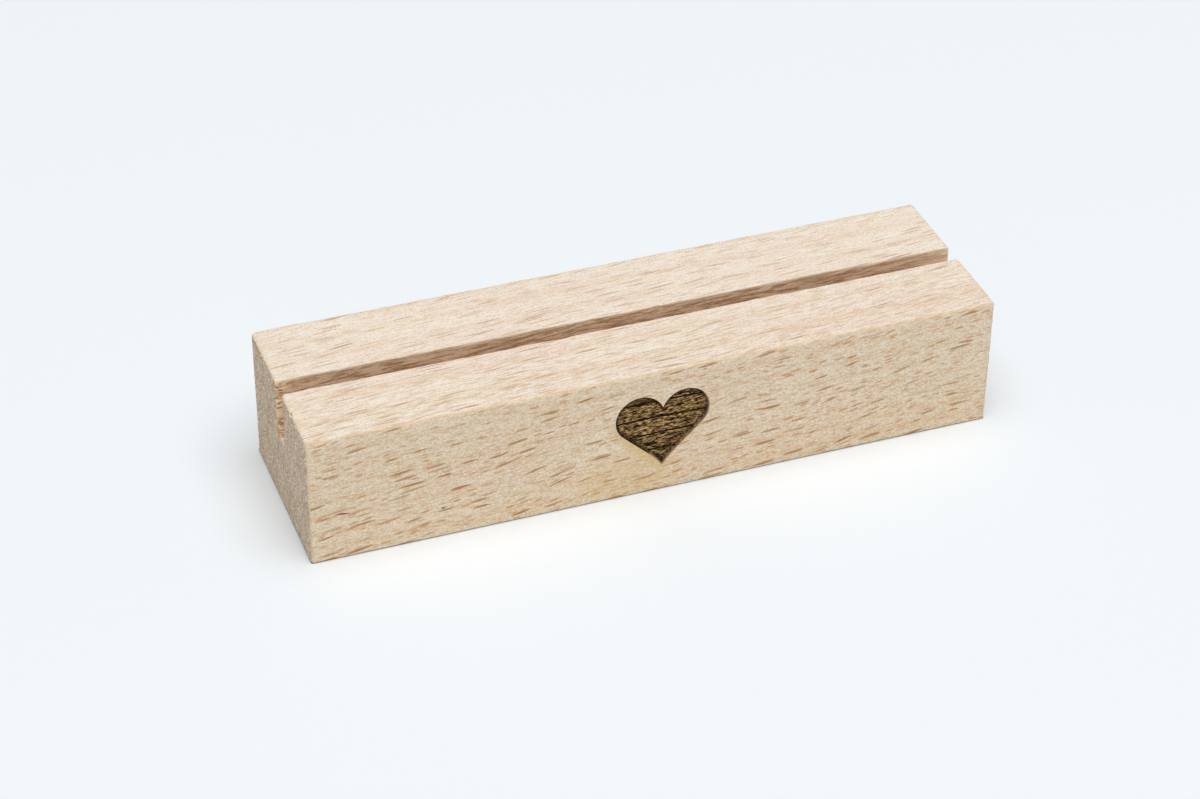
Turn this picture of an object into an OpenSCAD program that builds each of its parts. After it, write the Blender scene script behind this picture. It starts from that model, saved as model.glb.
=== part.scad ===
// Photo block holder
// A solid beech block with a saw slot along its top, which holds a photograph
// or a card upright, and a heart engraved in its front face. The slot stands a
// little nearer to the front than to the back.
// The origin is the centre of the foot, on the table. X runs along the block,
// -Y points out of the front face and Z points up. Sizes are in millimetres.

/* [Block] */
// Length of the block, along the slot
block_length = 110; // [60:1:200]
// Depth of the block, from the front face to the back
block_depth = 30.5; // [18:0.5:60]
// Height of the block
block_height = 22; // [16:0.5:50]
// Radius of the sanded edges round the top
top_edge_radius = 0.6; // [0.2:0.1:2]
// Radius of the sanded edges round the foot
foot_edge_radius = 0.2; // [0.1:0.1:2]
// Radius of the four sanded upright edges
upright_edge_radius = 0.6; // [0.2:0.1:2]

/* [Slot] */
// Width of the slot, one pass of a table saw's blade
slot_width = 3.2; // [1:0.1:6]
// Depth of the slot below the top
slot_depth = 8.6; // [4:0.1:12]
// How far the slot's middle stands behind the block's middle; negative is in front
slot_offset = -0.4; // [-5:0.1:5]
// Radius of the two edges at the slot's mouth
slot_edge_radius = 0.25; // [0.1:0.05:1]

/* [Heart] */
// Width of the heart across its two lobes
heart_width = 15.1; // [8:0.1:16]
// How far the two lobes run into each other, which sets the cleft
lobe_overlap = 0.42; // [0.2:0.02:1.6]
// Slope of the straight flanks below the lobes, in degrees
flank_angle = 44; // [38:1:48]
// How far the tip is drawn down below the flanks' own meeting point
tip_drop = 0.5; // [0.2:0.1:1.2]
// Radius of the hollow curves that lead into the tip
tip_flare_radius = 16; // [8:1:24]
// Place of the heart's middle along the block, from the block's middle
heart_offset = 0.4; // [-30:0.1:30]
// Height of the heart's middle above the block's middle
heart_rise = 0.2; // [-0.5:0.1:0.5]
// Depth of the engraving below the front face
engraving_depth = 0.8; // [0.4:0.1:3]
// Thickness of the charred wood that lines the engraving
char_thickness = 0.15; // [0.05:0.05:0.3]

/* [Hidden] */
$fn = 96;

// How far a cutting shape runs past the face that it cuts
cut_past = 1;

// The heart's outline is drawn upright about the level of its lobes' centres
lobe_radius = (heart_width + lobe_overlap) / 4;
lobe_x = heart_width / 2 - lobe_radius;
// Directions along the left flank towards the tip, and out of it
flank_run = [cos(flank_angle), -sin(flank_angle)];
flank_out = [-sin(flank_angle), -cos(flank_angle)];
// Height at which the two straight flanks would meet in the middle
flanks_meet = -lobe_radius * cos(flank_angle)
    - (lobe_x + lobe_radius * sin(flank_angle)) * tan(flank_angle);
tip = [0, flanks_meet - tip_drop];
// The left flare is a circle that touches the flank and ends in the tip
tip_off_flank = tip_drop * cos(flank_angle);
flare_run = sqrt(2 * tip_flare_radius * tip_off_flank - pow(tip_off_flank, 2));
flare_start = tip - tip_off_flank * flank_out - flare_run * flank_run;
flare_centre = flare_start + tip_flare_radius * flank_out;
// Height of the lobes' centres when the heart's middle is at its place
lobe_z = block_height / 2 + heart_rise - (lobe_radius + tip[1]) / 2;

function mirrored(point) = [-point[0], point[1]];

// Waste outside a rounded corner, for a corner at the origin whose solid lies
// towards -X and -Y
module corner_waste(radius) {
    difference() {
        translate([-radius, -radius]) square(radius + cut_past);
        translate([-radius, -radius]) circle(radius);
    }
}

// Rectangle that stands on the X axis, with rounded top and foot corners
module rounded_rectangle(width, height, top_radius, foot_radius) {
    difference() {
        translate([-width / 2, 0]) square([width, height]);
        for (side = [0, 1]) {
            mirror([side, 0]) {
                translate([width / 2, height]) corner_waste(top_radius);
                translate([width / 2, 0]) mirror([0, 1]) corner_waste(foot_radius);
            }
        }
    }
}

// The slot with its two rounded mouth edges, seen from the end of the block
module slot_outline() {
    translate([-slot_width / 2, block_height - slot_depth])
        square([slot_width, slot_depth + cut_past]);
    for (side = [0, 1]) {
        mirror([side, 0]) translate([slot_width / 2, block_height])
            mirror([1, 0]) corner_waste(slot_edge_radius);
    }
}

// Heart between its lobes' circles, its flanks and its flares, drawn smaller
// by the inset on every side
module heart_outline(inset = 0) {
    lobe = lobe_radius - inset;
    flare = tip_flare_radius + inset;
    flank_top = [-lobe_x, 0] + lobe * flank_out;
    flank_foot = flare_centre - flare * flank_out;
    point = [0, flare_centre[1] + sqrt(pow(flare, 2) - pow(flare_centre[0], 2))];
    difference() {
        union() {
            for (side = [-1, 1]) translate([side * lobe_x, 0]) circle(lobe);
            polygon([[-lobe_x, 0], flank_top, flank_foot, point,
                mirrored(flank_foot), mirrored(flank_top), [lobe_x, 0]]);
        }
        for (side = [-1, 1])
            translate([side * flare_centre[0], flare_centre[1]]) circle(flare);
    }
}

// Heart-shaped prism that reaches from in front of the front face to a depth
// below it
module heart_prism(depth, in_front, inset = 0) {
    translate([heart_offset, depth - block_depth / 2, lobe_z])
        rotate([90, 0, 0]) linear_extrude(depth + in_front) heart_outline(inset);
}

// Solid beech block, sanded on every edge, with the saw slot in its top and
// the heart sunk into its front face
module block() {
    color("#e3cfb3") difference() {
        intersection() {
            translate([0, -block_depth / 2]) linear_extrude(block_height)
                rounded_rectangle(block_length, block_depth,
                    upright_edge_radius, upright_edge_radius);
            rotate([90, 0, 0]) linear_extrude(block_depth, center = true)
                rounded_rectangle(block_length, block_height,
                    top_edge_radius, foot_edge_radius);
            rotate([90, 0, 90]) linear_extrude(block_length, center = true)
                rounded_rectangle(block_depth, block_height,
                    top_edge_radius, foot_edge_radius);
        }
        translate([0, slot_offset, 0]) rotate([90, 0, 90])
            linear_extrude(block_length + 2 * cut_past, center = true) slot_outline();
        heart_prism(engraving_depth, cut_past);
    }
}

// Charred wood that lines the floor and the walls of the engraving
module heart_char_layer() {
    color("#5a4128") difference() {
        heart_prism(engraving_depth, 0);
        heart_prism(engraving_depth - char_thickness, cut_past, char_thickness);
    }
}

block();
heart_char_layer();
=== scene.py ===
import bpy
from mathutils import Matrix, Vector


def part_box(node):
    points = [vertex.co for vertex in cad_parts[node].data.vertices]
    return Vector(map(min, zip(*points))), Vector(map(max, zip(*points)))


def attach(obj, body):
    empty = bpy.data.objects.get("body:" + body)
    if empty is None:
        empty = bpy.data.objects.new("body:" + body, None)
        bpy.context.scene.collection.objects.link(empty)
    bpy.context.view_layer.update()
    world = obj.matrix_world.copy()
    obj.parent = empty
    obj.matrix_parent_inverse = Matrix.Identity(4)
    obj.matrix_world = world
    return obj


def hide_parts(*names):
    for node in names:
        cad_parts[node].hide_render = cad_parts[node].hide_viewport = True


bl_info = {
    "name": "Photo Block Holder",
    "version": (1, 0, 0),
    "blender": (4, 5, 0),
    "location": "View3D > Sidebar > Photo Block",
    "description": "Models a beech photo block with a saw slot and an engraved heart",
    "category": "Object",
}

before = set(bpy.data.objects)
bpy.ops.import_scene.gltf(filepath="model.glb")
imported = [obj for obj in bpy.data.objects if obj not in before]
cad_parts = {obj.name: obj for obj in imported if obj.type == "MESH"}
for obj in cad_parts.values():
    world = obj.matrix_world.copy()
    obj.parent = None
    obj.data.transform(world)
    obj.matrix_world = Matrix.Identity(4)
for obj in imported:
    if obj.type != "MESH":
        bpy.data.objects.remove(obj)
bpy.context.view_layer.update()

import math

import bpy
from bpy.props import FloatProperty, FloatVectorProperty, IntProperty, PointerProperty, StringProperty
from mathutils import Vector

BLOCK_LOW, BLOCK_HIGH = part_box("block")
CHAR_LOW, CHAR_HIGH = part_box("heart_char_layer")
MM = 0.001
# Cuts and merges in a mesh of millimetres need a much finer threshold than the usual one
FINE = 1e-7
# Faces that meet at less than this are shaded smooth
SMOOTH_BELOW = math.radians(35)
# A face cuts across the fibres where its normal leans more than this along them
ACROSS_FIBRES = 0.7
# Unevenness: size of the lumps, their height, and how far they are drawn out along the length
WAVES = (9 * MM, 0.05 * MM, 1.0)
WORN_EDGES = (1.2 * MM, 0.08 * MM, 1.6)
TORN_FIBRES = (0.8 * MM, 0.06 * MM, 3.0)
RAGGED_MOUTH = (0.9 * MM, 0.08 * MM, 2.5)
RIBS = (0.7 * MM, 0.06 * MM, 5.0)
FINE_RIBS = (0.25 * MM, 0.03 * MM, 3.0)
# The unevenness starts this far up, so that the foot stays flat
ABOVE_FOOT = 0.4 * MM
# Width of the band along the edges that is worn unevenly
EDGE_BAND = 0.5 * MM
# How far the foot rises towards its edges, and how far in from them this starts and is whole
FOOT_LIFT = 0.05 * MM
LIFT_STARTS, LIFT_WHOLE = 1.8 * MM, 0.6 * MM
# The chip in the left end's top edge
CHIP_PLACE = (BLOCK_LOW.x + 0.1 * MM, -7.3 * MM, BLOCK_HIGH.z - 0.1 * MM)
CHIP_RADIUS = 0.4 * MM
# Size of the cells on the floor of the engraving
FLOOR_CELL = 0.15 * MM
# Marks on the front face: middle and half sizes in millimetres, and turn
SMOKE_PATCH = ((-5.5, -15.25, 3.5), (10.0, 2.0, 5.5), 0.0)
SCRATCH = ((-49.8, -15.25, 8.1), (1.35, 0.3, 0.14), math.radians(12))
PIN_KNOT = ((-34.4, -15.25, 5.2), (0.45, 0.3, 0.25), math.radians(10))
# Patches where the heart's floor is burnt black, in the same terms
SMUDGES = (
    ((-3.4, -14.6, 16.4), (2.4, 1.0, 0.85), 0.0),
    ((-1.3, -14.6, 8.5), (1.7, 1.0, 0.55), 0.0),
    ((0.9, -14.6, 7.3), (1.4, 1.0, 0.6), 0.0))
# Direction out of the heart's lower right flank, which is burnt less
LESS_BURNT = Vector((0.72, 0, -0.69))


class BlockShape(bpy.types.PropertyGroup):
    """Sizes of the beech block."""

    top_edge: FloatProperty(
        name="Top Edge", description="Radius of the sanded edges round the top",
        default=0.6 * MM, min=0.1 * MM, max=2 * MM, unit="LENGTH", precision=5)
    foot_edge: FloatProperty(
        name="Foot Edge", description="Radius of the sanded edges round the foot",
        default=0.12 * MM, min=0.1 * MM, max=2 * MM, unit="LENGTH", precision=5)
    upright_edge: FloatProperty(
        name="Upright Edge", description="Radius of the four upright edges",
        default=0.6 * MM, min=0.1 * MM, max=2 * MM, unit="LENGTH", precision=5)
    slot_width: FloatProperty(
        name="Slot Width", description="Width of the saw slot",
        default=3.2 * MM, min=1 * MM, max=6 * MM, unit="LENGTH", precision=5)
    slot_depth: FloatProperty(
        name="Slot Depth", description="Depth of the saw slot below the top",
        default=8.6 * MM, min=4 * MM, max=12 * MM, unit="LENGTH", precision=5)
    slot_shift: FloatProperty(
        name="Slot Shift", description="How far the slot's middle stands behind the block's middle",
        default=-0.4 * MM, min=-5 * MM, max=5 * MM, unit="LENGTH", precision=5)
    slot_edge: FloatProperty(
        name="Slot Edge", description="Radius of the slot's mouth edges",
        default=0.25 * MM, min=0.05 * MM, max=1 * MM, unit="LENGTH", precision=5)
    slot_end: FloatProperty(
        name="Slot End", description="Radius of the slot's upright edges at the two ends",
        default=0.5 * MM, min=0.05 * MM, max=1 * MM, unit="LENGTH", precision=5)
    worn_edge: FloatProperty(
        name="Worn Edge",
        description="Radius of the two upright edges at the left that are rubbed rounder",
        default=1.2 * MM, min=0.1 * MM, max=2 * MM, unit="LENGTH", precision=5)
    cell: FloatProperty(
        name="Cell", description="Size of the mesh cells that carry the hand-sanded unevenness",
        default=0.5 * MM, min=0.4 * MM, max=2 * MM, unit="LENGTH", precision=5)


class HeartShape(bpy.types.PropertyGroup):
    """Sizes of the engraved heart."""

    lobe_overlap: FloatProperty(
        name="Lobe Overlap", description="How far the two lobes run into each other",
        default=0.42 * MM, min=0.1 * MM, max=2 * MM, unit="LENGTH", precision=5)
    flank_angle: FloatProperty(
        name="Flank Angle", description="Slope of the straight flanks below the lobes",
        default=math.radians(44), min=math.radians(38), max=math.radians(48), unit="ROTATION")
    tip_drop: FloatProperty(
        name="Tip Drop", description="How far the tip is drawn down below the flanks' meeting point",
        default=0.5 * MM, min=0.2 * MM, max=1.2 * MM, unit="LENGTH", precision=5)
    flare_radius: FloatProperty(
        name="Flare Radius", description="Radius of the hollow curves that lead into the tip",
        default=16 * MM, min=8 * MM, max=24 * MM, unit="LENGTH", precision=5)
    char: FloatProperty(
        name="Char", description="Thickness of the charred layer",
        default=0.15 * MM, min=0.05 * MM, max=0.3 * MM, unit="LENGTH", precision=5)
    wall_lean: FloatProperty(
        name="Wall Lean", description="How far the burnt wall leans in from the rim to the floor",
        default=0.1 * MM, min=0, max=0.3 * MM, unit="LENGTH", precision=5)
    arc_steps: IntProperty(
        name="Arc Steps", description="Straight steps in the curve of one lobe",
        default=64, min=16, max=128)


class WoodLook(bpy.types.PropertyGroup):
    """Colours and grain of bare beech."""

    pale: StringProperty(name="Pale", description="Pale side grain, sRGB hex", default="FDF2E1")
    pink: StringProperty(name="Pink", description="Pinker side grain, sRGB hex", default="FBEADB")
    fuzz: StringProperty(
        name="Fuzz", description="Cut fibres between the rays, sRGB hex", default="D6AE80")
    lit: StringProperty(
        name="Lit Fibres", description="Fibre ends that catch the light, sRGB hex", default="FFF6EA")
    late: StringProperty(
        name="Latewood", description="Late wood at a ring's edge, sRGB hex", default="E6BA84")
    ray: StringProperty(name="Ray", description="Ray flecks, sRGB hex", default="B4804C")
    dash: StringProperty(name="Dash", description="Small ray flecks, sRGB hex", default="CF9864")
    # Also painted shade: mixed into the upright faces to make them warmer and darker than the top
    honey_and_side_shade: StringProperty(
        name="Honey", description="Wood that has yellowed, sRGB hex", default="E7D2AF")
    end: StringProperty(
        name="End Grain", description="Sanded end grain, sRGB hex", default="F8EBD8")
    pore: StringProperty(
        name="Pore", description="Open pores in the end grain, sRGB hex", default="C1A077")
    sawn: StringProperty(
        name="Sawn", description="Rough wood in the saw slot, sRGB hex", default="FFE4C4")
    torn: StringProperty(
        name="Torn", description="Torn fibres in the saw slot, sRGB hex", default="BA8250")
    scorch: StringProperty(
        name="Scorch", description="Wood yellowed by the laser, sRGB hex", default="DDB96E")
    # Also painted shade: the foot edge is darkened with it as a painted contact shadow
    stain_and_foot_shade: StringProperty(name="Stain", description="Small dark marks, sRGB hex", default="483A2E")
    ring_width: FloatProperty(
        name="Ring Width", description="Width of one growth ring in millimetres",
        default=2.66, min=1, max=6)
    ring_tilt: FloatProperty(
        name="Ring Tilt", description="Lean of the growth rings about the length",
        default=math.radians(30.4), unit="ROTATION")
    spiral: FloatProperty(
        name="Spiral", description="Slope of the fibres within a growth ring",
        default=math.radians(4.1), unit="ROTATION")


class CharLook(bpy.types.PropertyGroup):
    """Colours of the charred layer."""

    dark: StringProperty(name="Dark", description="Darkest char, sRGB hex", default="0E0803")
    brown: StringProperty(
        name="Brown", description="Brown of the burnt floor, sRGB hex", default="543B1E")
    tan: StringProperty(name="Tan", description="Lighter burnt fibres, sRGB hex", default="DDB47A")
    rim: StringProperty(
        name="Rim", description="Rim where the burning starts, sRGB hex", default="2A1A0C")
    edge: StringProperty(
        name="Edge", description="Lightly burnt lower right flank, sRGB hex", default="C2A184")


class StageLook(bpy.types.PropertyGroup):
    """Floor, lamps and camera."""

    floor: StringProperty(
        name="Floor", description="Colour of the floor, sRGB hex", default="F8FCFF")
    floor_size: FloatProperty(
        name="Floor Size", description="Side of the floor", default=6.0, min=1, unit="LENGTH")
    room: StringProperty(
        name="Room", description="Colour of the even light, sRGB hex", default="F1F6FA")
    key_power: FloatProperty(
        name="Key Power", description="Power of the overhead lamp",
        default=51.0, min=0, unit="POWER")
    key_size: FloatProperty(
        name="Key Size", description="Diameter of the overhead lamp",
        default=2.75, min=0.1, unit="LENGTH")
    key_place: FloatVectorProperty(
        name="Key Place", description="Place of the overhead lamp",
        default=(0.0, -0.58, 2.4), size=3, subtype="XYZ", unit="LENGTH")
    fill_power: FloatProperty(
        name="Fill Power", description="Power of the warm lamp at the front left",
        default=0.3, min=0, unit="POWER")
    fill_size: FloatProperty(
        name="Fill Size", description="Diameter of the warm lamp",
        default=0.6, min=0.1, unit="LENGTH")
    fill_colour: StringProperty(
        name="Fill Colour", description="Colour of the warm lamp, sRGB hex", default="FFF0DC")
    fill_place: FloatVectorProperty(
        name="Fill Place", description="Place of the warm lamp",
        default=(-0.45, -0.95, 0.3), size=3, subtype="XYZ", unit="LENGTH")
    sky: FloatProperty(
        name="Sky", description="Strength of the even light from all sides", default=0.34, min=0)
    lens: FloatProperty(
        name="Lens", description="Focal length in millimetres", default=92.5, min=10)
    camera_place: FloatVectorProperty(
        name="Camera Place", description="Place of the camera",
        default=(-0.1388, -0.36336, 0.28626), size=3, subtype="XYZ", unit="LENGTH")
    camera_aim: FloatVectorProperty(
        name="Camera Aim", description="Point at the middle of the picture",
        default=(-0.00431, -0.00067, 0.00799), size=3, subtype="XYZ", unit="LENGTH")
    camera_roll: FloatProperty(
        name="Camera Roll", description="Turn of the camera about its view",
        default=math.radians(0.5), unit="ROTATION")


def linear(hex_colour):
    """Linear RGBA of an sRGB hex colour."""
    parts = [int(hex_colour[i:i + 2], 16) / 255 for i in (0, 2, 4)]
    return tuple(c / 12.92 if c <= 0.04045 else ((c + 0.055) / 1.055) ** 2.4 for c in parts) + (1.0,)


def add(tree, kind, *feeds, sockets=None, **settings):
    """Adds a shader node. Feeds go to its inputs in order, sockets to inputs by name."""
    made = tree.nodes.new("ShaderNode" + kind)
    for key, value in settings.items():
        setattr(made, key, value)
    shown = [s for s in made.inputs if s.enabled]
    named = {s.name: s for s in reversed(shown)}
    wanted = list(zip(shown, feeds)) + [(named[key], value) for key, value in (sockets or {}).items()]
    for socket, value in wanted:
        if isinstance(value, bpy.types.Node):
            value = next(s for s in value.outputs if s.enabled)
        if isinstance(value, bpy.types.NodeSocket):
            tree.links.new(value, socket)
        else:
            socket.default_value = value
    return made


def clear_selection():
    """Leaves object mode with nothing selected."""
    if bpy.context.object and bpy.context.object.mode != "OBJECT":
        bpy.ops.object.mode_set(mode="OBJECT")
    bpy.ops.object.select_all(action="DESELECT")


def select_only(piece):
    """Makes a piece the one selected and active object."""
    clear_selection()
    piece.select_set(True)
    bpy.context.view_layer.objects.active = piece


def select_whole_mesh():
    """Enters edit mode with the whole mesh of the active piece selected."""
    bpy.ops.object.mode_set(mode="EDIT")
    bpy.ops.mesh.select_all(action="SELECT")


def face_outwards():
    """Turns all faces of the mesh in edit mode outwards, and goes back to object mode."""
    bpy.ops.mesh.select_all(action="SELECT")
    bpy.ops.mesh.normals_make_consistent(inside=False)
    bpy.ops.object.mode_set(mode="OBJECT")


def shade_smooth(piece):
    """Shades a piece smooth, except where its faces meet at a sharp angle."""
    select_only(piece)
    bpy.ops.object.shade_smooth_by_angle(angle=SMOOTH_BELOW)


def pick(piece, parts, test):
    """Enters edit mode with only those faces, edges or vertices selected that pass a test."""
    bpy.ops.object.mode_set(mode="OBJECT")
    mesh = piece.data
    for group in (mesh.vertices, mesh.edges, mesh.polygons):
        group.foreach_set("select", [False] * len(group))
    bpy.context.tool_settings.mesh_select_mode = [parts == k for k in ("vertices", "edges", "polygons")]
    for part in getattr(mesh, parts):
        part.select = test(part)
    bpy.ops.object.mode_set(mode="EDIT")


def finish_with(piece, kind, **settings):
    """Adds a modifier to a piece and applies it."""
    select_only(piece)
    modifier = piece.modifiers.new(kind, kind)
    for key, value in settings.items():
        setattr(modifier, key, value)
    bpy.ops.object.modifier_apply(modifier=modifier.name)


def cut_out(piece, cutter):
    """Takes a cutting shape out of a piece."""
    finish_with(piece, "BOOLEAN", object=cutter, operation="DIFFERENCE", solver="EXACT")
    bpy.data.objects.remove(cutter)
    # The cut can lose a sliver of a face far from the shape, so the mesh is closed again
    select_whole_mesh()
    bpy.ops.mesh.fill_holes(sides=6)
    face_outwards()


def cut_across(direction, places):
    """Cuts all visible faces of the mesh in edit mode at each place along a direction."""
    for place in places:
        bpy.ops.mesh.select_all(action="SELECT")
        bpy.ops.mesh.bisect(plane_co=Vector(direction) * place, plane_no=direction, threshold=FINE)


def stations(low, high, step, keep_off=(), room=0.0):
    """Even places between two ends, without those that lie too close to a place to keep off."""
    count = max(1, round((high - low) / step))
    places = [low + (high - low) * i / count for i in range(count + 1)]
    return [p for p in places if all(abs(p - k) > room for k in keep_off)]


def group_of(piece, name, weigh):
    """Vertex group of the vertices to which a test gives more than 0, with that as their weight."""
    group = piece.vertex_groups.new(name=name)
    for vertex in piece.data.vertices:
        weight = weigh(vertex)
        if weight:
            group.add([vertex.index], weight, "REPLACE")
    return group.name


def roughen(piece, group, size, height, stretch):
    """Lifts and sinks the vertices of a group by lumps of a size, drawn out along the length."""
    lumps = bpy.data.textures.new(group, "CLOUDS")
    lumps.noise_scale = size
    lumps.noise_depth = 2
    clear_selection()
    bpy.ops.object.empty_add(location=(0, 0, 0))
    ruler = bpy.context.object
    ruler.scale = (stretch, 1, 1)
    bpy.context.view_layer.update()
    finish_with(
        piece, "DISPLACE", texture=lumps, texture_coords="OBJECT", texture_coords_object=ruler,
        vertex_group=group, strength=2 * height, mid_level=0.5, direction="NORMAL")
    bpy.data.objects.remove(ruler)


def heart_points(heart):
    """Corners and centres of the heart's left half, from the middle between the lobes."""
    width = CHAR_HIGH.x - CHAR_LOW.x
    radius = (width + heart.lobe_overlap) / 4
    lobe_x = width / 2 - radius
    run = Vector((math.cos(heart.flank_angle), 0, -math.sin(heart.flank_angle)))
    out = Vector((-math.sin(heart.flank_angle), 0, -math.cos(heart.flank_angle)))
    meet = -radius * math.cos(heart.flank_angle)
    meet -= (lobe_x + radius * math.sin(heart.flank_angle)) * math.tan(heart.flank_angle)
    tip = Vector((0, 0, meet - heart.tip_drop))
    off = heart.tip_drop * math.cos(heart.flank_angle)
    flare_run = math.sqrt(2 * heart.flare_radius * off - off ** 2)
    flare_start = tip - off * out - flare_run * run
    return {
        "radius": radius,
        "lobe": Vector((-lobe_x, 0, 0)),
        "cleft": Vector((0, 0, math.sqrt(radius ** 2 - lobe_x ** 2))),
        "flank_top": Vector((-lobe_x, 0, 0)) + radius * out,
        "flare_start": flare_start,
        "flare_centre": flare_start + heart.flare_radius * out,
        "flare_turn": math.acos(1 - off / heart.flare_radius),
    }


def heart_middle():
    """Middle between the centres of the two lobes, on the block's front face."""
    points = heart_points(bpy.context.scene.photo_heart)
    return Vector(((CHAR_LOW.x + CHAR_HIGH.x) / 2, BLOCK_LOW.y, CHAR_HIGH.z - points["radius"]))


def draw_heart(name, heart):
    """Flat heart on the front face: one half drawn with spins and an extrusion, then mirrored."""
    points = heart_points(heart)
    middle = heart_middle()
    clear_selection()
    bpy.ops.mesh.primitive_plane_add(size=MM, location=middle)
    piece = bpy.context.object
    piece.name = name
    bpy.ops.object.mode_set(mode="EDIT")
    bpy.ops.mesh.select_mode(type="VERT")
    bpy.ops.mesh.merge(type="CENTER")
    bpy.ops.transform.translate(value=points["cleft"])
    from_lobe = points["cleft"] - points["lobe"]
    lobe_turn = math.radians(270) - heart.flank_angle - math.atan2(from_lobe.z, from_lobe.x)
    bpy.ops.mesh.spin(
        steps=heart.arc_steps, angle=lobe_turn, center=middle + points["lobe"], axis=(0, 1, 0))
    flank = points["flare_start"] - points["flank_top"]
    bpy.ops.mesh.extrude_vertices_move(TRANSFORM_OT_translate={"value": flank})
    bpy.ops.mesh.spin(
        steps=heart.arc_steps // 8, angle=-points["flare_turn"], center=middle + points["flare_centre"],
        axis=(0, 1, 0))
    finish_with(piece, "MIRROR", use_axis=(True, False, False), merge_threshold=FINE)
    select_whole_mesh()
    bpy.ops.mesh.edge_face_add()
    bpy.ops.object.mode_set(mode="OBJECT")
    bpy.ops.object.transform_apply(location=True, rotation=True, scale=True)
    return piece


def thicken_heart(piece, front, back):
    """Turns a flat heart into a prism between two depths behind the block's front face."""
    select_whole_mesh()
    bpy.ops.transform.translate(value=(0, front, 0))
    bpy.ops.mesh.extrude_region_move(TRANSFORM_OT_translate={"value": (0, back - front, 0)})
    face_outwards()


def just_above_floor(heart):
    """Depth just in front of the charred floor, which parts it from the wall and the rim."""
    return CHAR_HIGH.y - heart.char - 0.05 * MM


def wood_axes(tree, look):
    """Place in the tree in millimetres: X along the trunk, Y along a ring, Z out across the rings."""
    place = add(tree, "TexCoord").outputs["Object"]
    in_mm = add(tree, "VectorMath", place, operation="SCALE", sockets={"Scale": 1 / MM})
    return add(
        tree, "Mapping", in_mm, vector_type="TEXTURE", sockets={"Rotation": (look.ring_tilt, 0, 0)})


def rings(tree, axes, look, phase=0.0):
    """How much of a point is late wood: 1 on the edge of a growth ring, fading inwards."""
    # The rings curve about a pith 172 mm away, above the front, and sway by up to 0.8 mm
    sway = add(tree, "TexNoise", axes, sockets={"Scale": 0.06, "Detail": 2.0})
    split = add(tree, "SeparateXYZ", axes)
    off = add(tree, "Math", split.outputs["Y"], 10.0, operation="SUBTRACT")
    bend = add(tree, "Math", off, off, operation="MULTIPLY")
    flat = add(tree, "Math", bend, -0.0029, split.outputs["Z"], operation="MULTIPLY_ADD")
    swayed = add(tree, "Math", sway.outputs["Fac"], 0.8, flat, operation="MULTIPLY_ADD")
    count = add(tree, "Math", swayed, 1 / look.ring_width, -0.25 - phase, operation="MULTIPLY_ADD")
    within = add(tree, "Math", count, operation="FRACT")
    gap = add(tree, "Math", within, 0.5, operation="SUBTRACT")
    near = add(tree, "Math", gap, operation="ABSOLUTE")
    return add(tree, "MapRange", near, 0.5, 0.2, 1.0, 0.0, interpolation_type="SMOOTHSTEP")


def ray_axes(tree, axes, look):
    """The wood's axes turned along its fibres, which climb within a ring and wander a little."""
    climbed = add(
        tree, "Mapping", axes, vector_type="TEXTURE", sockets={"Rotation": (0, 0, look.spiral)})
    wander = add(tree, "TexNoise", axes, sockets={"Scale": 0.05, "Detail": 1.0})
    centred = add(tree, "VectorMath", wander.outputs["Color"], (0.5, 0.5, 0.5), operation="SUBTRACT")
    return add(tree, "VectorMath", centred, (0.0, 1.8, 1.5), climbed, operation="MULTIPLY_ADD")


def rays(tree, axes, cell, share, shift, girth):
    """Spindles where rays come to the surface, in cells of a size, with a share of them filled."""
    # Neighbouring layers slide along each other, so that the spindles don't stack
    across = add(tree, "VectorMath", axes, (0.0, 0.25, 0.15), operation="MULTIPLY")
    slide = add(tree, "TexNoise", across, sockets={"Scale": 1.0, "Detail": 1.0})
    slid = add(
        tree, "VectorMath", slide.outputs["Color"], (3 * cell[0], 0.0, 0.0), axes,
        operation="MULTIPLY_ADD")
    scaled = add(
        tree, "VectorMath", slid, tuple(1 / c for c in cell), (shift, shift, shift),
        operation="MULTIPLY_ADD")
    cells = add(tree, "TexVoronoi", scaled, feature="F1", sockets={"Scale": 1.0, "Randomness": 1.0})
    luck = add(tree, "SeparateXYZ", cells.outputs["Color"])
    # Some are little more than half the size of the largest
    size = add(tree, "MapRange", luck.outputs["Z"], 0.0, 1.0, 0.6, 1.05)
    near = add(tree, "Math", cells.outputs["Distance"], size, operation="DIVIDE")
    core = add(tree, "MapRange", near, girth, 0.28, 0.0, 1.0, interpolation_type="SMOOTHSTEP")
    filled = add(tree, "Math", luck.outputs["X"], 1 - share, operation="GREATER_THAN")
    depth = add(tree, "MapRange", luck.outputs["Y"], 0.0, 1.0, 0.5, 1.0)
    strength = add(tree, "Math", filled, depth, operation="MULTIPLY")
    return add(tree, "Math", core, strength, operation="MULTIPLY")


def stretched_noise(tree, axes, stretch, scale, detail, low, high):
    """Noise drawn out along the axes, 0 below its low value and 1 above its high one."""
    drawn = add(tree, "VectorMath", axes, stretch, operation="MULTIPLY")
    # The octaves' grids don't line up, or they would show as lines across the grain
    noise = add(
        tree, "TexNoise", drawn,
        sockets={"Scale": scale, "Detail": detail, "Roughness": 0.6, "Lacunarity": 2.13})
    return add(tree, "MapRange", noise.outputs["Fac"], low, high, 0.0, 1.0)


def spot(tree, place, size, turn):
    """A small mark on the front face: 1 in its middle, 0 outside. Lengths are in millimetres."""
    at = add(tree, "TexCoord").outputs["Object"]
    local = add(tree, "Mapping", at, vector_type="TEXTURE", sockets={
        "Location": Vector(place) * MM, "Rotation": (0, turn, 0), "Scale": Vector(size) * MM})
    far = add(tree, "VectorMath", local, operation="LENGTH")
    return add(
        tree, "MapRange", far.outputs["Value"], 1.0, 0.5, 0.0, 1.0, interpolation_type="SMOOTHSTEP")


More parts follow.
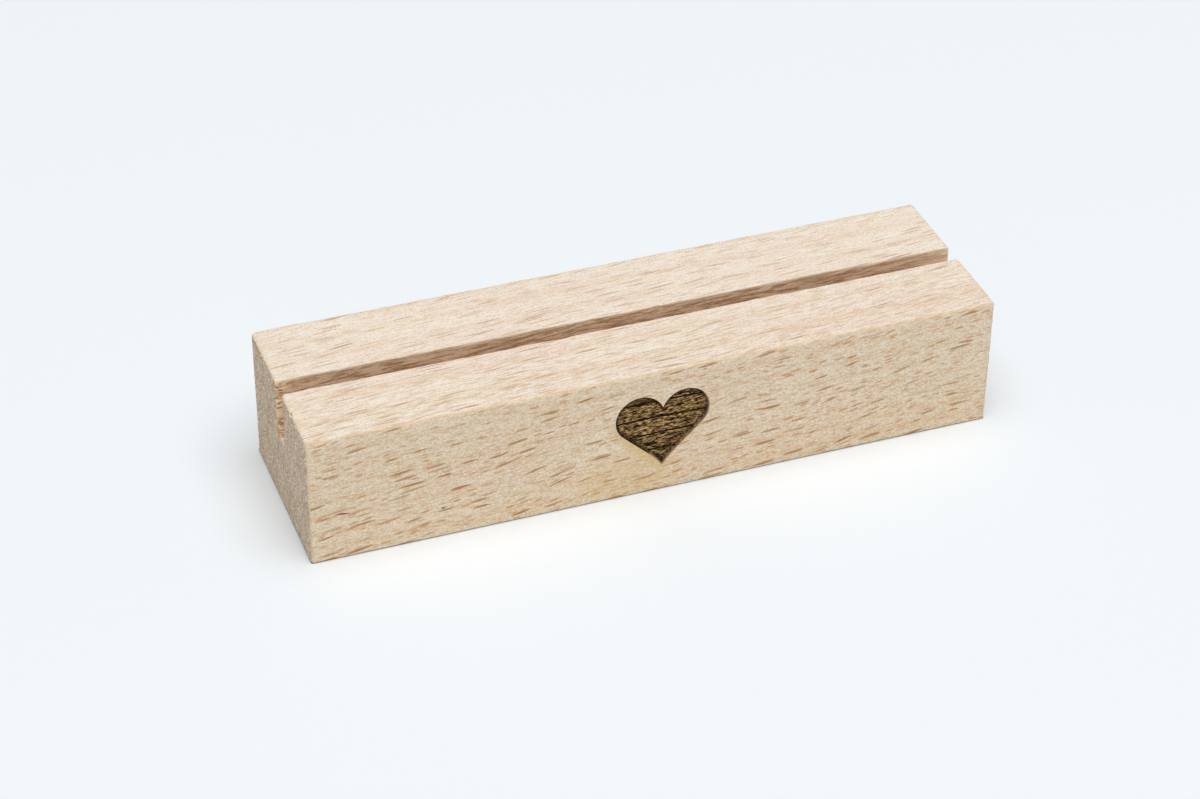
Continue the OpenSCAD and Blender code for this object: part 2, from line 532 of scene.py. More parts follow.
def heart_distance(tree, heart):
    """Distance from the engraved heart's outline in metres, negative inside it."""
    points = heart_points(heart)
    at = add(tree, "TexCoord").outputs["Object"]
    centred = add(tree, "VectorMath", at, heart_middle(), operation="SUBTRACT")
    folded = add(tree, "VectorMath", centred, operation="ABSOLUTE")
    x = add(tree, "Math", add(tree, "SeparateXYZ", folded), points["lobe"].x, operation="ADD")
    z = add(tree, "SeparateXYZ", centred).outputs["Z"]
    from_lobe = add(tree, "CombineXYZ", x, 0.0, z)
    sine, cosine = math.sin(heart.flank_angle), math.cos(heart.flank_angle)
    along = add(tree, "VectorMath", from_lobe, (-cosine, 0, -sine), operation="DOT_PRODUCT")
    out = add(tree, "VectorMath", from_lobe, (sine, 0, -cosine), operation="DOT_PRODUCT")
    back = add(tree, "Math", along.outputs["Value"], 0.0, operation="MINIMUM")
    reach = add(tree, "CombineXYZ", back, out.outputs["Value"], 0.0)
    far = add(tree, "VectorMath", reach, operation="LENGTH")
    return add(tree, "Math", far.outputs["Value"], points["radius"], operation="SUBTRACT")


def height_over_lobes(tree):
    """Height over the middle of the heart's lobes in metres."""
    at = add(tree, "SeparateXYZ", add(tree, "TexCoord").outputs["Object"])
    return add(tree, "Math", at.outputs["Z"], heart_middle().z, operation="SUBTRACT")


def rounded_edge(tree):
    """Where the face turns round a sanded edge: 1 in the middle of the turn, 0 on the flats."""
    normal = add(tree, "TexCoord").outputs["Normal"]
    folded = add(tree, "VectorMath", normal, operation="ABSOLUTE")
    split = add(tree, "SeparateXYZ", folded)
    two = add(tree, "Math", split.outputs["X"], split.outputs["Y"], operation="MAXIMUM")
    most = add(tree, "Math", two, split.outputs["Z"], operation="MAXIMUM")
    return add(tree, "MapRange", most, 0.985, 0.85, 0.0, 1.0)


def bare_beech(name):
    """Starts a material of bare, unvarnished wood: no coat and a dull shine."""
    material = bpy.data.materials.new(name)
    material.use_nodes = True
    tree = material.node_tree
    shader = tree.nodes["Principled BSDF"]
    shader.inputs["IOR"].default_value = 1.47
    shader.inputs["Specular IOR Level"].default_value = 0.3
    return material, tree, shader


def surface(tree, shader, colour, height, depth, smooth=0.55, rough=0.75):
    """Feeds the shader its colour, a relief of a depth in millimetres and a shine that follows it."""
    tree.links.new(colour.outputs[2], shader.inputs["Base Color"])
    bump = add(tree, "Bump", sockets={"Strength": 1.0, "Distance": depth * MM, "Height": height})
    tree.links.new(bump.outputs["Normal"], shader.inputs["Normal"])
    shine = add(tree, "MapRange", height, 0.0, 1.0, rough, smooth)
    tree.links.new(shine.outputs["Result"], shader.inputs["Roughness"])


def painted_foot_shadow(tree, colour, look):
    """Darkens the edge that stands on the table with painted shade: a painted contact shadow along the
    foot.
    """
    height = add(tree, "SeparateXYZ", add(tree, "TexCoord").outputs["Object"]).outputs["Z"]
    near = add(tree, "MapRange", height, 0.24 * MM, 0.08 * MM, 0.0, 0.95)
    return add(tree, "Mix", near, colour, linear(look.stain_and_foot_shade), data_type="RGBA")


def sanded_side_grain(look, heart):
    """Beech sanded along the grain: pale pinkish cream with spindle-shaped ray flecks and fine fuzz."""
    material, tree, shader = bare_beech("beech_sanded_side_grain")
    axes = wood_axes(tree, look)
    along = ray_axes(tree, axes, look)
    facing = add(tree, "SeparateXYZ", add(tree, "TexCoord").outputs["Normal"]).outputs["Y"]
    sideways = add(tree, "Math", facing, operation="ABSOLUTE")
    upright = add(tree, "MapRange", sideways, 0.5, 0.95, 0.0, 1.0)
    # On the top, the grain gets stronger towards the front
    place = add(tree, "SeparateXYZ", add(tree, "TexCoord").outputs["Object"])
    busy = add(tree, "MapRange", place.outputs["Y"], 3 * MM, -13 * MM, 0.0, 1.0)
    # Broad drifts, 10 mm wide and 40 mm long, between the cream and the pinker wood
    drift = stretched_noise(tree, axes, (0.25, 1.0, 1.0), 0.1, 2.0, 0.35, 0.65)
    ground = add(tree, "Mix", drift, linear(look.pale), linear(look.pink), data_type="RGBA")
    # The upright faces are tinted warmer and darker than the top as painted shade, more towards the
    # foot and in patches
    depth = add(tree, "SeparateXYZ", axes).outputs["Y"]
    side_shade_depth = add(tree, "MapRange", depth, -4.0, -13.0, 0.62, 0.72)
    patch = stretched_noise(tree, axes, (0.6, 1.0, 1.0), 0.07, 1.0, 0.35, 0.65)
    patchy = add(tree, "MapRange", patch, 0.0, 1.0, 0.85, 1.1)
    turned = add(tree, "Math", side_shade_depth, patchy, operation="MULTIPLY")
    yellowed = add(tree, "Math", turned, upright, operation="MULTIPLY")
    side_shaded = add(tree, "Mix", yellowed, ground, linear(look.honey_and_side_shade), data_type="RGBA")
    # Late wood shows as rows of dashes 3.5 mm long and 0.4 mm wide
    dashes = stretched_noise(tree, along, (0.11, 1.0, 1.0), 2.6, 3.0, 0.42, 0.62)
    on_top = add(tree, "MapRange", busy, 0.0, 1.0, 0.3, 0.56)
    most = add(tree, "Mix", upright, on_top, 0.62, data_type="FLOAT")
    shown = add(tree, "MapRange", dashes, 0.0, 1.0, 0.08, most)
    late = add(tree, "Math", rings(tree, axes, look), shown, operation="MULTIPLY")
    ringed = add(tree, "Mix", late, side_shaded, linear(look.late), data_type="RGBA")
    # The sander leaves the top with faint streaks 3 mm long, and the upright faces with a fuzz of
    # dashes 1.8 mm long
    streaks = stretched_noise(tree, along, (0.07, 1.0, 1.0), 4.6, 3.0, 0.46, 0.6)
    share = add(tree, "MapRange", busy, 0.0, 1.0, 0.38, 0.6)
    faint = add(tree, "Math", streaks, share, operation="MULTIPLY")
    fuzz = stretched_noise(tree, along, (0.17, 1.0, 1.0), 3.2, 4.0, 0.47, 0.62)
    strong = add(tree, "Math", fuzz, 0.6, operation="MULTIPLY")
    felt = add(tree, "Mix", upright, faint, strong, data_type="FLOAT")
    felted = add(tree, "Mix", felt, ringed, linear(look.fuzz), data_type="RGBA")
    # The sander's grit of 0.08 mm, drawn at 0.25 mm to show: pits in a warmer tone and lit fibre ends
    gritty = add(tree, "VectorMath", along, (0.6, 1.0, 1.0), operation="MULTIPLY")
    grit = add(tree, "TexNoise", gritty, sockets={"Scale": 4.0, "Detail": 2.0, "Roughness": 0.7})
    coarse = add(tree, "MapRange", upright, 0.0, 1.0, 0.6, 0.75)
    pits = add(tree, "MapRange", grit.outputs["Fac"], 0.48, 0.3, 0.0, coarse)
    pitted = add(tree, "Mix", pits, felted, linear(look.fuzz), data_type="RGBA")
    ends = add(tree, "MapRange", grit.outputs["Fac"], 0.52, 0.7, 0.0, coarse)
    sanded = add(tree, "Mix", ends, pitted, linear(look.lit), data_type="RGBA")
    # Broad rays are brown spindles up to 5 mm long and 0.3 mm thick, small ones are orange and half as
    # long. The top cuts through them more squarely, so there they are longer and thinner
    drawn = add(tree, "Mix", upright, (0.75, 1.65, 1.0), (1.0, 1.0, 1.0), data_type="VECTOR")
    cut = add(tree, "VectorMath", along, drawn, operation="MULTIPLY")
    girth = add(tree, "MapRange", upright, 0.0, 1.0, 0.5, 0.51)
    broad = rays(tree, cut, (4.8, 0.29, 10.0), 0.27, 0.0, girth)
    small = rays(tree, cut, (2.2, 0.22, 4.0), 0.32, 7.3, girth)
    fewer = add(tree, "MapRange", busy, 0.0, 1.0, 0.2, 0.7)
    plain = add(tree, "Mix", upright, fewer, 1.0, data_type="FLOAT")
    orange = add(tree, "Math", small, plain, operation="MULTIPLY")
    dashed = add(tree, "Mix", orange, sanded, linear(look.dash), data_type="RGBA")
    capped = add(tree, "Math", broad, 0.92, operation="MINIMUM")
    flecked = add(tree, "Mix", capped, dashed, linear(look.ray), data_type="RGBA")
    # The sander's pad has burnished the edges to a warmer tone, with orange dashes
    worn = stretched_noise(tree, along, (0.3, 1.0, 1.0), 2.0, 2.0, 0.45, 0.6)
    edge = rounded_edge(tree)
    part = add(tree, "Math", edge, 0.4, operation="MULTIPLY")
    creamy = add(tree, "Mix", part, flecked, linear(look.honey_and_side_shade), data_type="RGBA")
    half_worn = add(tree, "Math", worn, 0.5, operation="MULTIPLY")
    rubbed = add(tree, "Math", edge, half_worn, operation="MULTIPLY")
    burnished = add(tree, "Mix", rubbed, creamy, linear(look.late), data_type="RGBA")
    # Smoke of the laser has yellowed the front round the heart, in a ragged band
    front = add(tree, "MapRange", facing, -0.6, -0.95, 0.0, 1.0)
    patches = stretched_noise(tree, axes, (1.0, 1.0, 1.0), 0.5, 2.0, 0.35, 0.65)
    ragged = add(tree, "MapRange", patches, 0.0, 1.0, 0.45, 1.0)
    halo = add(tree, "MapRange", heart_distance(tree, heart), 1.6 * MM, 0.0, 0.0, 0.8)
    low = add(tree, "MapRange", height_over_lobes(tree), 2 * MM, -4 * MM, 0.15, 1.0)
    middle = heart_middle().x
    leeward = add(tree, "MapRange", place.outputs["X"], middle, middle + 2 * MM, 1.0, 0.35)
    drifted = add(tree, "Math", halo, low, operation="MULTIPLY")
    haze = add(tree, "Math", drifted, leeward, operation="MULTIPLY")
    smoked = add(tree, "Math", haze, ragged, operation="MULTIPLY")
    # It has settled in a wide faint patch under the heart's left side too
    under = spot(tree, *SMOKE_PATCH)
    settled = add(tree, "Math", under, 0.24, smoked, operation="MULTIPLY_ADD")
    in_front = add(tree, "Math", settled, front, operation="MULTIPLY")
    scorched = add(tree, "Mix", in_front, burnished, linear(look.scorch), data_type="RGBA")
    # A short pencil-thin scratch and a dark pin knot on the front
    scratch = spot(tree, *SCRATCH)
    knot = spot(tree, *PIN_KNOT)
    marks = add(tree, "Math", knot, 0.7, scratch, operation="MULTIPLY_ADD")
    marked = add(tree, "Mix", marks, scorched, linear(look.stain_and_foot_shade), data_type="RGBA")
    relief = add(tree, "Math", fuzz, -0.35, grit.outputs["Fac"], operation="MULTIPLY_ADD")
    sunk = add(tree, "Math", capped, -0.25, relief, operation="MULTIPLY_ADD")
    # The foot edge gets painted shade, a painted contact shadow
    surface(tree, shader, painted_foot_shadow(tree, marked, look), sunk, 0.06)
    return material


def sanded_end_grain(look):
    """Beech sanded across its fibres: greyer, peppered with open pores, its rays as faint streaks."""
    material, tree, shader = bare_beech("beech_sanded_end_grain")
    axes = wood_axes(tree, look)
    # Pores and the lit ridges between them, in cloudy groups. Beech's pores are 0.08 mm wide, and are
    # drawn at 0.3 mm to show
    pepper = stretched_noise(tree, axes, (1.0, 1.0, 1.0), 3.3, 3.0, 0.42, 0.58)
    clouds = stretched_noise(tree, axes, (1.0, 1.0, 0.6), 0.5, 3.0, 0.35, 0.65)
    speck = add(tree, "Math", clouds, 0.25, pepper, operation="MULTIPLY_ADD")
    open_pores = add(tree, "MapRange", speck, 1.2, 0.05, 0.0, 1.0)
    peppered = add(tree, "Mix", open_pores, linear(look.end), linear(look.pore), data_type="RGBA")
    # Rays run out from the pith as thin streaks
    streaks = stretched_noise(tree, axes, (1.0, 2.5, 0.12), 1.0, 2.0, 0.55, 0.7)
    faint = add(tree, "Math", streaks, 0.36, operation="MULTIPLY")
    streaked = add(tree, "Mix", faint, peppered, linear(look.ray), data_type="RGBA")
    late = add(tree, "Math", rings(tree, axes, look), 0.22, operation="MULTIPLY")
    ringed = add(tree, "Mix", late, streaked, linear(look.late), data_type="RGBA")
    # The foot edge gets painted shade, a painted contact shadow
    surface(tree, shader, painted_foot_shadow(tree, ringed, look), pepper, 0.1, 0.65, 0.85)
    return material


def sawn_slot(look):
    """Beech straight from the saw: rough torn fibres with darker streaks along the grain."""
    material, tree, shader = bare_beech("beech_sawn_slot")
    axes = wood_axes(tree, look)
    along = ray_axes(tree, axes, look)
    # Wavy strands 0.4 mm high and 4.6 mm long, with torn fibres 0.7 mm long among them
    strands = stretched_noise(tree, along, (0.09, 1.0, 1.0), 2.4, 4.0, 0.42, 0.6)
    fibres = stretched_noise(tree, along, (0.3, 1.0, 1.0), 5.0, 2.0, 0.42, 0.6)
    both = add(tree, "Math", fibres, 0.35, strands, operation="MULTIPLY_ADD")
    # The blade tore out more where it came out, at the left end
    place = add(tree, "SeparateXYZ", add(tree, "TexCoord").outputs["Object"])
    at_end = add(
        tree, "MapRange", place.outputs["X"], BLOCK_LOW.x + 4 * MM, BLOCK_LOW.x + 1 * MM, 0.0, 1.0)
    chunks = stretched_noise(tree, axes, (0.35, 1.0, 1.0), 2.0, 3.0, 0.44, 0.6)
    deep = add(tree, "Math", chunks, 1.5, operation="MULTIPLY")
    stirred = add(tree, "Mix", at_end, both, deep, data_type="FLOAT")
    torn = add(tree, "MapRange", stirred, 0.2, 1.5, 0.0, 1.0)
    # Painted light: towards the right end the torn streaks are painted fainter, so the wall is lighter
    # where light comes in at the open end
    painted_light_right_end = add(
        tree, "MapRange", place.outputs["X"], BLOCK_HIGH.x - 14 * MM, BLOCK_HIGH.x - 2 * MM, 1.0, 0.5)
    shown = add(tree, "Math", torn, painted_light_right_end, operation="MULTIPLY")
    coloured = add(tree, "Mix", shown, linear(look.sawn), linear(look.torn), data_type="RGBA")
    # The mouth is sanded like the top, down to a wavy line
    wavy = stretched_noise(tree, axes, (0.4, 1.0, 1.0), 0.6, 2.0, 0.3, 0.7)
    line = add(tree, "Math", wavy, -0.4 * MM, place.outputs["Z"], operation="MULTIPLY_ADD")
    high = add(tree, "MapRange", line, BLOCK_HIGH.z - 0.8 * MM, BLOCK_HIGH.z - 0.2 * MM, 0.0, 0.8)
    topped = add(tree, "Mix", high, coloured, linear(look.honey_and_side_shade), data_type="RGBA")
    height = add(tree, "Math", 1.0, torn, operation="SUBTRACT")
    surface(tree, shader, topped, height, 0.12, 0.7, 0.9)
    return material


def charred_beech(wood, look, heart):
    """Beech burnt by an engraving laser: brown ribs along the grain, near black in the soft bands."""
    material, tree, shader = bare_beech("beech_laser_charred")
    axes = wood_axes(tree, wood)
    # The noises' common origin, where they would draw a line, lies outside the heart
    along = add(tree, "VectorMath", ray_axes(tree, axes, wood), (31.7, 0.0, 0.0), operation="ADD")
    # Hard fibres stand up as light ribs 0.15 mm wide and 0.7 mm long
    ribs = stretched_noise(tree, along, (0.2, 1.0, 1.0), 7.0, 1.5, 0.45, 0.58)
    floor = add(tree, "Mix", ribs, linear(look.brown), linear(look.tan), data_type="RGBA")
    # Soft spots are burnt black, in dashes 1.7 mm long and in one line at each growth ring
    holes = stretched_noise(tree, along, (0.22, 1.0, 1.0), 2.6, 4.0, 0.44, 0.4)
    late = rings(tree, axes, wood, 0.66)
    line = add(tree, "MapRange", late, 0.89, 0.955, 0.0, 1.0)
    burnt = add(tree, "Math", holes, line, operation="MAXIMUM")
    # Painted shadow under the rims of the lobes, where the rim above shades the floor, darkened with
    # soot as well
    distance = heart_distance(tree, heart)
    inside = add(tree, "MapRange", distance, -1.1 * MM, -0.4 * MM, 0.0, 1.0)
    high = add(tree, "MapRange", height_over_lobes(tree), 0, 2 * MM, 0.0, 1.0)
    under = add(tree, "Math", inside, high, operation="MULTIPLY")
    # A narrow dark line of painted shade follows the whole foot of the wall
    foot = add(tree, "MapRange", distance, -0.6 * MM, -0.3 * MM, 0.0, 0.6)
    shade_and_soot = add(tree, "Math", under, foot, operation="MAXIMUM")
    patchy = stretched_noise(tree, along, (0.4, 1.0, 1.0), 1.5, 3.0, 0.35, 0.6)
    caked = add(tree, "MapRange", patchy, 0.0, 1.0, 0.45, 1.0)
    patchy_shade_and_soot = add(tree, "Math", shade_and_soot, caked, operation="MULTIPLY")
    black = add(tree, "Math", burnt, patchy_shade_and_soot, operation="MAXIMUM")
    # Soft spots in the left lobe and over the tip are burnt out in patches
    for patch in SMUDGES:
        smudge = add(tree, "Math", spot(tree, *patch), caked, operation="MULTIPLY")
        black = add(tree, "Math", black, smudge, operation="MAXIMUM")
    blackened = add(tree, "Math", black, 0.96, operation="MULTIPLY")
    charred = add(tree, "Mix", blackened, floor, linear(look.dark), data_type="RGBA")
    # The burning starts brown at the rim and turns black as it goes down the wall
    down = add(tree, "SeparateXYZ", add(tree, "TexCoord").outputs["Object"]).outputs["Y"]
    at_rim = add(tree, "MapRange", down, BLOCK_LOW.y + 0.35 * MM, BLOCK_LOW.y, 0.0, 0.9)
    rimmed = add(tree, "Mix", at_rim, charred, linear(look.rim), data_type="RGBA")
    # Its lower right flank was burnt less, and fades into the wood from the floor up
    at = add(tree, "TexCoord").outputs["Object"]
    aside = add(tree, "VectorMath", at, LESS_BURNT, operation="DOT_PRODUCT")
    middle = heart_middle().dot(LESS_BURNT)
    weak = add(
        tree, "MapRange", aside.outputs["Value"], middle + 2.6 * MM, middle + 3.6 * MM, 0.0, 1.0)
    flaked = add(tree, "Math", patchy, 0.35 * MM, down, operation="MULTIPLY_ADD")
    up_wall = add(tree, "MapRange", flaked, BLOCK_LOW.y + 0.7 * MM, BLOCK_LOW.y + 0.2 * MM, 0.0, 0.95)
    fading = add(tree, "Math", weak, up_wall, operation="MULTIPLY")
    paler = add(tree, "Mix", fading, rimmed, linear(look.edge), data_type="RGBA")
    height = add(tree, "Math", ribs, burnt, operation="SUBTRACT")
    surface(tree, shader, paler, height, 0.12, 0.6, 0.85)
    shader.inputs["Specular IOR Level"].default_value = 0.05
    return material


def seamless_paper(look):
    """Matt white background paper, a plain pale floor that keeps the shadow."""
    material = bpy.data.materials.new("paper_matt_white")
    material.use_nodes = True
    shader = material.node_tree.nodes["Principled BSDF"]
    shader.inputs["Base Color"].default_value = linear(look.floor)
    shader.inputs["Roughness"].default_value = 0.9
    shader.inputs["Specular IOR Level"].default_value = 0.1
    return material


def from_slot(place, shape):
    """Distance of a place from the slot's walls, front to back, negative between them."""
    return abs(place.y - shape.slot_shift) - shape.slot_width / 2


def edge_weights(piece, shape):
    """Marks each edge of the block with its sanded radius, as a share of the largest."""
    mesh = piece.data
    largest = max(
        shape.top_edge, shape.foot_edge, shape.upright_edge, shape.slot_edge, shape.slot_end,
        shape.worn_edge)
    weights = mesh.attributes.new("bevel_weight_edge", "FLOAT", "EDGE")
    for edge in mesh.edges:
        a, b = (mesh.vertices[i].co for i in edge.vertices)
        middle = (a + b) / 2
        at_end = abs(abs(middle.x) - BLOCK_HIGH.x) < FINE
        at_side = abs(abs(middle.y) - BLOCK_HIGH.y) < FINE
        at_slot = abs(from_slot(middle, shape)) < FINE
        at_top = abs(middle.z - BLOCK_HIGH.z) < FINE
        at_foot = abs(middle.z - BLOCK_LOW.z) < FINE
        in_slot = middle.z > BLOCK_HIGH.z - shape.slot_depth + FINE
        radius = 0.0
        if at_side and at_end:
            radius = shape.worn_edge if middle.x < 0 < middle.y else shape.upright_edge
        elif at_foot and (at_side or at_end):
            radius = shape.foot_edge
        elif at_top and at_slot and not at_end:
            radius = shape.slot_edge
        elif at_top and (at_side or at_end):
            radius = shape.top_edge
        elif at_slot and at_end and in_slot:
            radius = shape.worn_edge if middle.x < 0 and middle.y < shape.slot_shift else shape.slot_end
        weights.data[edge.index].value = radius / largest
    return largest


class PHOTO_OT_block(bpy.types.Operator):
    """Model the slotted beech block."""

    bl_idname = "photo.block"
    bl_label = "Beech Block"

    def execute(self, context):
        shape = context.scene.photo_block
        look = context.scene.photo_wood
        length, depth, height = BLOCK_HIGH - BLOCK_LOW
        slot_floor = BLOCK_HIGH.z - shape.slot_depth
        walls = [shape.slot_shift + side * shape.slot_width / 2 for side in (-1, 1)]
        # The end's outline comes first: a plate with the slot's strip taken out
        clear_selection()
        bpy.ops.mesh.primitive_plane_add(
            size=1, location=(BLOCK_LOW.x, 0, height / 2), rotation=(0, math.radians(90), 0))
        piece = context.object
        piece.name = "block_beech"
        piece.scale = (height, depth, 1)
        bpy.ops.object.transform_apply(location=True, rotation=True, scale=True)
        bpy.ops.object.mode_set(mode="EDIT")
        cut_across((0, 1, 0), walls)
        cut_across((0, 0, 1), (slot_floor,))
        pick(piece, "polygons", lambda f: from_slot(f.center, shape) < 0 and f.center.z > slot_floor)
        bpy.ops.mesh.delete(type="FACE")
        bpy.ops.mesh.select_all(action="SELECT")
        bpy.ops.mesh.extrude_region_move(TRANSFORM_OT_translate={"value": (length, 0, 0)})
        face_outwards()
        widest = edge_weights(piece, shape)
        finish_with(piece, "BEVEL", width=widest, segments=4, limit_method="WEIGHT")
        self.divide(piece, shape, walls, slot_floor)
        self.engrave(piece, context.scene.photo_heart)
        self.chip(piece)
        self.sand(piece, shape, slot_floor)
        self.dress(piece, look, shape, slot_floor)
        return {"FINISHED"}

    def divide(self, piece, shape, walls, slot_floor):
        """Divides the faces into small cells, so that the hand sanding can show."""
        margin = 1 * MM
        sides = stations(
            BLOCK_LOW.y + margin, BLOCK_HIGH.y - margin, shape.cell, walls, 0.3 * MM)
        levels = stations(
            BLOCK_LOW.z + margin, BLOCK_HIGH.z - margin, shape.cell, (slot_floor,), 0.2 * MM)
        bpy.ops.object.mode_set(mode="EDIT")
        cut_across((0, 1, 0), sides)
        cut_across((0, 0, 1), levels)
        # The long edges are cut in hundreds and each hundredth once more
        for shortest, longest, cuts in ((50 * MM, 200 * MM, 99), (0.9 * MM, 2 * MM, 1)):
            vertices = piece.data.vertices

            def runs_along(edge):
                a, b = (vertices[i].co for i in edge.vertices)
                return abs(a.x - b.x) > 0.999 * (a - b).length and shortest < (a - b).length < longest

            pick(piece, "edges", runs_along)
            bpy.ops.mesh.subdivide(number_cuts=cuts)
        bpy.ops.object.mode_set(mode="OBJECT")

    def engrave(self, piece, heart):
        """Sinks the heart into the front face."""
        sunk = CHAR_HIGH.y - BLOCK_LOW.y
        cutter = draw_heart("heart_cutter", heart)
        thicken_heart(cutter, -MM, sunk)
        cut_out(piece, cutter)
        if not any(abs(f.center.y - CHAR_HIGH.y) < FINE for f in piece.data.polygons):
            raise RuntimeError("The heart was not cut into the block.")

    def chip(self, piece):
        """Chips the left end's top edge, where the block was knocked."""
        clear_selection()
        bpy.ops.mesh.primitive_ico_sphere_add(
            subdivisions=2, radius=CHIP_RADIUS, location=CHIP_PLACE, scale=(1, 1.5, 1))
        cut_out(piece, bpy.context.object)

    def sand(self, piece, shape, slot_floor):
        """Gives the faces the slight waves of hand sanding and the slot its torn fibres."""
        def in_slot(v, reach):
            return from_slot(v.co, shape) < reach and v.co.z > slot_floor - 0.05 * MM

        def by_edge(v):
            x, y, z = (high - EDGE_BAND for high in BLOCK_HIGH)
            return sum((abs(v.co.x) > x, abs(v.co.y) > y, v.co.z > z)) > 1

        # The lift of the foot leaves a thin dark gap under its edges
        def foot_share(v):
            inset = min(BLOCK_HIGH.x - abs(v.co.x), BLOCK_HIGH.y - abs(v.co.y))
            inwards = min(1.0, max(0.0, (LIFT_STARTS - inset) / (LIFT_STARTS - LIFT_WHOLE)))
            return inwards * max(0.0, 1 - v.co.z / (2 * shape.foot_edge))

        outside = group_of(
            piece, "sanded", lambda v: v.co.z > ABOVE_FOOT and not in_slot(v, 0.05 * MM))
        roughen(piece, outside, *WAVES)
        edges = group_of(piece, "edges", lambda v: v.co.z > ABOVE_FOOT and by_edge(v))
        roughen(piece, edges, *WORN_EDGES)
        finish_with(
            piece, "DISPLACE", direction="Z", mid_level=0, strength=FOOT_LIFT,
            vertex_group=group_of(piece, "foot", foot_share))
        slot = group_of(piece, "slot", lambda v: in_slot(v, 0.2 * MM))
        roughen(piece, slot, *TORN_FIBRES)
        mouth = group_of(
            piece, "mouth", lambda v: -0.1 * MM < from_slot(v.co, shape) < 0.4 * MM
            and v.co.z > BLOCK_HIGH.z - 0.4 * MM)
        roughen(piece, mouth, *RAGGED_MOUTH)
        shade_smooth(piece)

    def dress(self, piece, look, shape, slot_floor):
        """Gives each face the finish of its cut, and stands the piece in for the CAD block."""
        heart = bpy.context.scene.photo_heart
        for material in (sanded_side_grain(look, heart), sanded_end_grain(look), sawn_slot(look)):
            piece.data.materials.append(material)
        for face in piece.data.polygons:
            by_walls = from_slot(face.center, shape) < 0.12 * MM
            if abs(face.normal.x) > ACROSS_FIBRES:
                face.material_index = 1
            elif by_walls and face.center.z > slot_floor - 0.1 * MM:
                face.material_index = 2
        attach(piece, "root")
        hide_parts("block")


class PHOTO_OT_heart(bpy.types.Operator):
    """Model the charred layer in the engraved heart."""

    bl_idname = "photo.heart"
    bl_label = "Charred Heart"

    def execute(self, context):
        scene = context.scene
        heart = scene.photo_heart
        sunk = CHAR_HIGH.y - BLOCK_LOW.y
        piece = draw_heart("heart_char", heart)
        thicken_heart(piece, 0, sunk)
        # The rim is drawn in by the layer's thickness, then sunk in three steps that lean inwards
        pick(piece, "polygons", lambda f: f.normal.y < -0.9)
        bpy.ops.mesh.inset(thickness=heart.char, depth=0)
        for _ in range(3):
            bpy.ops.mesh.inset(thickness=heart.wall_lean / 3, depth=-(sunk - heart.char) / 3)
        bpy.ops.object.mode_set(mode="OBJECT")
        self.divide(piece, heart)
        self.burn(piece, heart)
        piece.data.materials.append(charred_beech(scene.photo_wood, scene.photo_char, heart))
        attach(piece, "root")
        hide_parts("heart_char_layer")
        return {"FINISHED"}

    def divide(self, piece, heart):
        """Divides the floor of the engraving into small cells, so that the ribs can show."""
        pick(piece, "polygons", lambda f: f.normal.y < -0.9 and f.center.y > just_above_floor(heart))
        bpy.ops.mesh.hide(unselected=True)
        cut_across((1, 0, 0), stations(CHAR_LOW.x + FLOOR_CELL, CHAR_HIGH.x - FLOOR_CELL, FLOOR_CELL))
        cut_across((0, 0, 1), stations(CHAR_LOW.z + FLOOR_CELL, CHAR_HIGH.z - FLOOR_CELL, FLOOR_CELL))
        bpy.ops.mesh.reveal(select=False)
        bpy.ops.object.mode_set(mode="OBJECT")

    def burn(self, piece, heart):
        """Burns ribs into the floor along the grain."""
        burnt = group_of(
            piece, "burnt", lambda v: CHAR_HIGH.y - FINE > v.co.y > just_above_floor(heart))
        roughen(piece, burnt, *RIBS)
        roughen(piece, burnt, *FINE_RIBS)
        shade_smooth(piece)


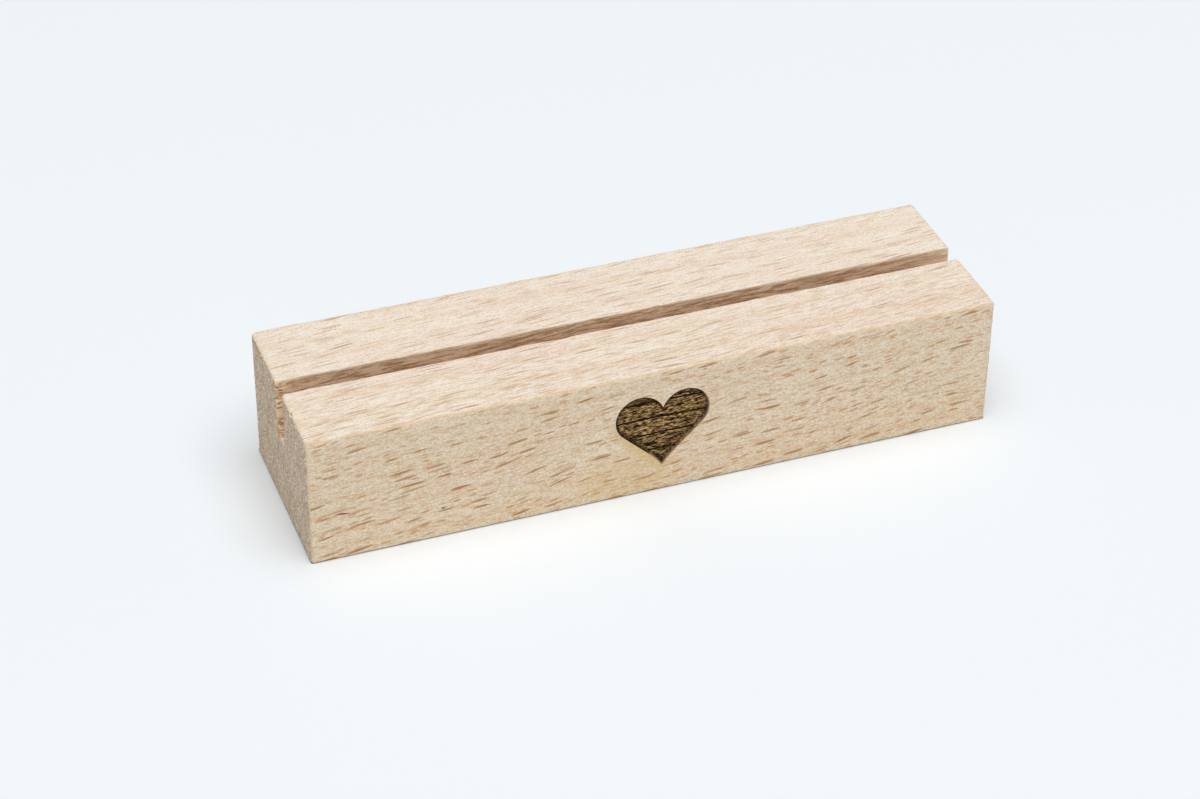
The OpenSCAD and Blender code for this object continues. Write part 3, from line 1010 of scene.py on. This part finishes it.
class PHOTO_OT_stage(bpy.types.Operator):
    """Lay the pale floor and place the lamps and the camera."""

    bl_idname = "photo.stage"
    bl_label = "Stage"

    def execute(self, context):
        look = context.scene.photo_stage
        clear_selection()
        bpy.ops.mesh.primitive_plane_add(size=look.floor_size, location=(0, 0, 0))
        floor = context.object
        floor.name = "floor"
        floor.data.materials.append(seamless_paper(look))
        self.light(context, look)
        bpy.ops.object.camera_add(location=look.camera_place)
        camera = context.object
        camera.data.lens = look.lens
        view = Vector(look.camera_aim) - Vector(look.camera_place)
        camera.rotation_euler = view.to_track_quat("-Z", "Y").to_euler()
        camera.rotation_euler.rotate_axis("Z", look.camera_roll)
        context.scene.camera = camera
        context.scene.view_settings.view_transform = "Standard"
        return {"FINISHED"}

    def light(self, context, look):
        """One wide soft lamp overhead, a weak warm one at the front left, and an even pale room."""
        lamps = (
            ("key", look.key_place, look.key_size, look.key_power, "FFFFFF"),
            ("fill", look.fill_place, look.fill_size, look.fill_power, look.fill_colour))
        for name, place, size, power, colour in lamps:
            bpy.ops.object.light_add(type="AREA", location=place)
            lamp = context.object
            lamp.name = name
            lamp.data.shape = "DISK"
            lamp.data.size = size
            lamp.data.energy = power
            lamp.data.color = linear(colour)[:3]
            lamp.rotation_euler = (-Vector(place)).to_track_quat("-Z", "Y").to_euler()
        world = bpy.data.worlds.new("room")
        context.scene.world = world
        world.use_nodes = True
        tree = world.node_tree
        back = tree.nodes["Background"]
        path = add(tree, "LightPath").outputs
        mirrored = add(
            tree, "Math", path["Is Glossy Ray"], path["Is Transmission Ray"], operation="MAXIMUM")
        seen = add(tree, "Math", path["Is Camera Ray"], mirrored, operation="MAXIMUM")
        strength = add(tree, "MapRange", seen, 0.0, 1.0, look.sky, 1.0)
        back.inputs["Color"].default_value = linear(look.room)
        tree.links.new(strength.outputs["Result"], back.inputs["Strength"])


class PHOTO_PT_panel(bpy.types.Panel):
    """The block's pieces and its stage."""

    bl_label = "Photo Block"
    bl_idname = "PHOTO_PT_panel"
    bl_space_type = "VIEW_3D"
    bl_region_type = "UI"
    bl_category = "Photo Block"

    def draw(self, context):
        for name in GROUPS:
            box = self.layout.box()
            group = getattr(context.scene, name)
            for key in group.__annotations__:
                box.prop(group, key)
        for operator in OPERATORS:
            self.layout.operator(operator.bl_idname)


GROUPS = {
    "photo_block": BlockShape,
    "photo_heart": HeartShape,
    "photo_wood": WoodLook,
    "photo_char": CharLook,
    "photo_stage": StageLook,
}
OPERATORS = (PHOTO_OT_block, PHOTO_OT_heart, PHOTO_OT_stage)
CLASSES = (*GROUPS.values(), *OPERATORS, PHOTO_PT_panel)


def register():
    for cls in CLASSES:
        bpy.utils.register_class(cls)
    for name, group in GROUPS.items():
        setattr(bpy.types.Scene, name, PointerProperty(type=group))


def unregister():
    for name in GROUPS:
        delattr(bpy.types.Scene, name)
    for cls in reversed(CLASSES):
        bpy.utils.unregister_class(cls)


def main():
    register()
    bpy.ops.photo.block()
    bpy.ops.photo.heart()
    bpy.ops.photo.stage()


if __name__ == "__main__":
    main()
